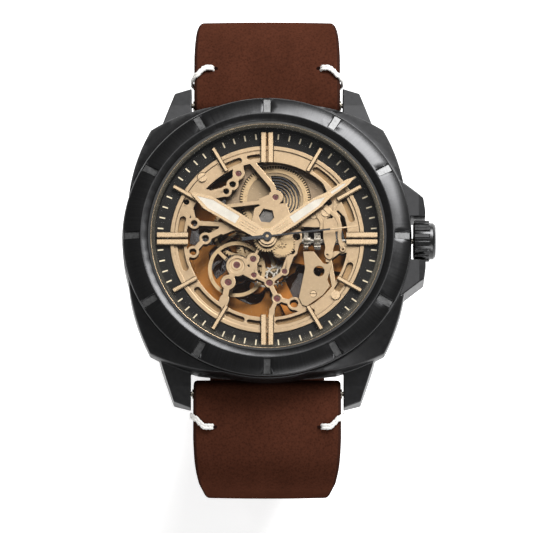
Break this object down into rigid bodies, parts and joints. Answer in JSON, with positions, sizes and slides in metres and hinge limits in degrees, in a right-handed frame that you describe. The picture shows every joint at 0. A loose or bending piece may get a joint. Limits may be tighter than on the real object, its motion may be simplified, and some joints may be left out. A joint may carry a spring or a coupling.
{
  "type": "wristwatch",
  "caption": "Automatic skeleton wristwatch: black cushion case with crown guards, open champagne dial over the working movement, and a brown leather strap with a pin buckle.",
  "frame": {"origin": "centre of the case back's outer face", "axes": "+Z out of the dial, +Y towards 12 o'clock, +X towards the crown at 3 o'clock"},
  "size_m": [0.0467, 0.0732, 0.0702],
  "materials": {
    "black_case": "black coated steel with a fine circular brush",
    "slot_grey": "brushed dark grey",
    "clear_glass": "clear mineral glass",
    "seal_rubber": "black rubber",
    "champagne": "champagne gold plate, fine satin",
    "champagne_bright": "champagne gold plate, polished",
    "flange_black": "satin black",
    "tick_cream": "cream print",
    "ruby": "synthetic ruby",
    "steel": "polished steel",
    "plate_sand": "sand-blasted champagne plate",
    "holder_plastic": "black plastic",
    "movement_amber": "amber gold plate",
    "spring_dark": "dark spring steel",
    "lume": "cream luminous fill",
    "needle_dark": "dark grey with champagne tip",
    "thread_white": "waxed white thread",
    "leather_brown": "dark brown oiled leather",
    "black_buckle": "black coated steel"
  },
  "bodies": {
    "watch_case": {"case_body": "black_case", "bezel": "black_case", "bezel_inlays": "slot_grey", "crystal": "clear_glass", "crystal_gasket": "seal_rubber", "inner_flange": "flange_black", "chapter_ring": "flange_black", "minute_ticks": "tick_cream", "hour_markers": "champagne_bright", "dial_plate": "champagne", "main_plate": "champagne", "jewels": "ruby", "dial_screws": "champagne_bright", "cover_plate": "plate_sand", "keyless_plates": "champagne", "movement_holder": "holder_plastic", "case_back": "black_case", "case_back_glass": "clear_glass", "case_back_gasket": "seal_rubber", "train_bridge": "movement_amber", "balance_cock": "movement_amber", "barrel_bridge": "movement_amber", "bridge_screws": "steel", "rotor_bearing": "steel", "crown_tube": "steel", "spring_bars": "steel"},
    "seconds_train": {"fourth_wheel": "champagne_bright", "seconds_hand": "needle_dark"},
    "minute_train": {"centre_wheel": "champagne_bright", "cannon_pinion": "steel", "minute_hand": "champagne_bright", "minute_hand_lume": "lume"},
    "hour_train": {"hour_wheel": "champagne_bright", "hour_hand": "champagne_bright", "hour_hand_lume": "lume"},
    "motion_wheel": {"minute_wheel": "champagne_bright"},
    "third": {"third_wheel": "champagne_bright"},
    "escape": {"escape_wheel": "steel"},
    "pallet": {"pallet_fork": "steel"},
    "balance": {"balance_wheel": "champagne_bright", "hairspring": "spring_dark"},
    "barrel": {"barrel_drum": "champagne", "barrel_cover": "champagne", "mainspring": "spring_dark"},
    "ratchet": {"barrel_arbor": "steel", "ratchet_wheel": "champagne_bright"},
    "crown_gear": {"crown_wheel": "champagne_bright"},
    "winding_rotor": {"rotor": "champagne"},
    "setting": {"setting_lever": "steel"},
    "crown_and_stem": {"crown": "black_case", "winding_stem": "steel"},
    "stem_pinions": {"winding_pinion": "steel", "sliding_pinion": "steel"},
    "strap_upper": {"strap_12": "leather_brown", "keeper_fixed": "leather_brown"},
    "strap_lower": {"strap_6": "leather_brown"},
    "buckle": {"buckle_frame": "black_buckle", "buckle_bar": "steel"},
    "prong": {"buckle_prong": "black_buckle"},
    "loose_keeper": {"keeper_free": "leather_brown"}
  },
  "joints": [
    {"name": "seconds_turn", "type": "hinge", "parent": "watch_case", "child": "seconds_train", "pos_m": [0, 0, 0.008], "axis": [0, 0, -1], "continuous": true},
    {"name": "minute_turn", "type": "hinge", "parent": "watch_case", "child": "minute_train", "pos_m": [0, 0, 0.008], "axis": [0, 0, -1], "continuous": true},
    {"name": "hour_turn", "type": "hinge", "parent": "watch_case", "child": "hour_train", "pos_m": [0, 0, 0.008], "axis": [0, 0, -1], "continuous": true},
    {"name": "motion_wheel_turn", "type": "hinge", "parent": "watch_case", "child": "motion_wheel", "pos_m": [0.00226, -0.00082, 0.0083], "axis": [0, 0, -1], "continuous": true},
    {"name": "third_turn", "type": "hinge", "parent": "watch_case", "child": "third", "pos_m": [-0.00407, 0.00235, 0.005], "axis": [0, 0, -1], "continuous": true},
    {"name": "escape_turn", "type": "hinge", "parent": "watch_case", "child": "escape", "pos_m": [0.00128, -0.00478, 0.005], "axis": [0, 0, -1], "continuous": true},
    {"name": "barrel_turn", "type": "hinge", "parent": "watch_case", "child": "barrel", "pos_m": [0.0012, 0.0067, 0.0055], "axis": [0, 0, -1], "continuous": true},
    {"name": "balance_swing", "type": "hinge", "parent": "watch_case", "child": "balance", "pos_m": [-0.00453, -0.0039, 0.0055], "axis": [0, 0, 1], "range_deg": [-150, 150], "stiffness_Nm_per_rad": 0.0000003},
    {"name": "pallet_rock", "type": "hinge", "parent": "watch_case", "child": "pallet", "pos_m": [-0.00155, -0.00615, 0.0052], "axis": [0, 0, 1], "range_deg": [-6, 6]},
    {"name": "crown_turn", "type": "hinge", "parent": "setting", "child": "crown_and_stem", "pos_m": [0.021, 0, 0.00715], "axis": [1, 0, 0], "continuous": true},
    {"name": "crown_pull", "type": "slide", "parent": "watch_case", "child": "setting", "axis": [1, 0, 0], "range_m": [0, 0.0012]},
    {"name": "pinion_turn", "type": "hinge", "parent": "watch_case", "child": "stem_pinions", "pos_m": [0.007, 0, 0.00715], "axis": [1, 0, 0], "continuous": true},
    {"name": "crown_gear_turn", "type": "hinge", "parent": "watch_case", "child": "crown_gear", "pos_m": [0.0061, 0.0057, 0.0048], "axis": [0, 0, 1], "continuous": true},
    {"name": "ratchet_turn", "type": "hinge", "parent": "watch_case", "child": "ratchet", "pos_m": [0.0012, 0.0067, 0.0048], "axis": [0, 0, 1], "continuous": true},
    {"name": "rotor_spin", "type": "hinge", "parent": "watch_case", "child": "winding_rotor", "pos_m": [0, 0, 0.0023], "axis": [0, 0, 1], "continuous": true},
    {"name": "strap_upper_swing", "type": "hinge", "parent": "watch_case", "child": "strap_upper", "pos_m": [0, 0.0224, 0.0028], "axis": [1, 0, 0], "range_deg": [0, 60]},
    {"name": "strap_lower_swing", "type": "hinge", "parent": "watch_case", "child": "strap_lower", "pos_m": [0, -0.0224, 0.0028], "axis": [-1, 0, 0], "range_deg": [0, 60]},
    {"name": "buckle_swing", "type": "hinge", "parent": "strap_upper", "child": "buckle", "pos_m": [0, 0.00952, -0.03604], "axis": [1, 0, 0], "range_deg": [-30, 20]},
    {"name": "prong_swing", "type": "hinge", "parent": "buckle", "child": "prong", "pos_m": [0, 0.00952, -0.03604], "axis": [1, 0, 0], "range_deg": [0, 75]},
    {"name": "keeper_slide", "type": "slide", "parent": "strap_upper", "child": "loose_keeper", "axis": [0, 1, 0], "range_m": [0, 0.002]}
  ],
  "couplings": [
    {"joint": "minute_turn", "follows": "seconds_turn", "ratio": 0.016667},
    {"joint": "hour_turn", "follows": "seconds_turn", "ratio": 0.0013889},
    {"joint": "motion_wheel_turn", "follows": "seconds_turn", "ratio": -0.0055556},
    {"joint": "third_turn", "follows": "seconds_turn", "ratio": -0.13333},
    {"joint": "escape_turn", "follows": "seconds_turn", "ratio": -12},
    {"joint": "barrel_turn", "follows": "seconds_turn", "ratio": -0.0025},
    {"joint": "pallet_rock", "follows": "balance_swing", "ratio": 0.04},
    {"joint": "pinion_turn", "follows": "crown_turn", "ratio": 1},
    {"joint": "crown_gear_turn", "follows": "crown_turn", "ratio": -0.66667},
    {"joint": "ratchet_turn", "follows": "crown_turn", "ratio": 0.33333}
  ]
}
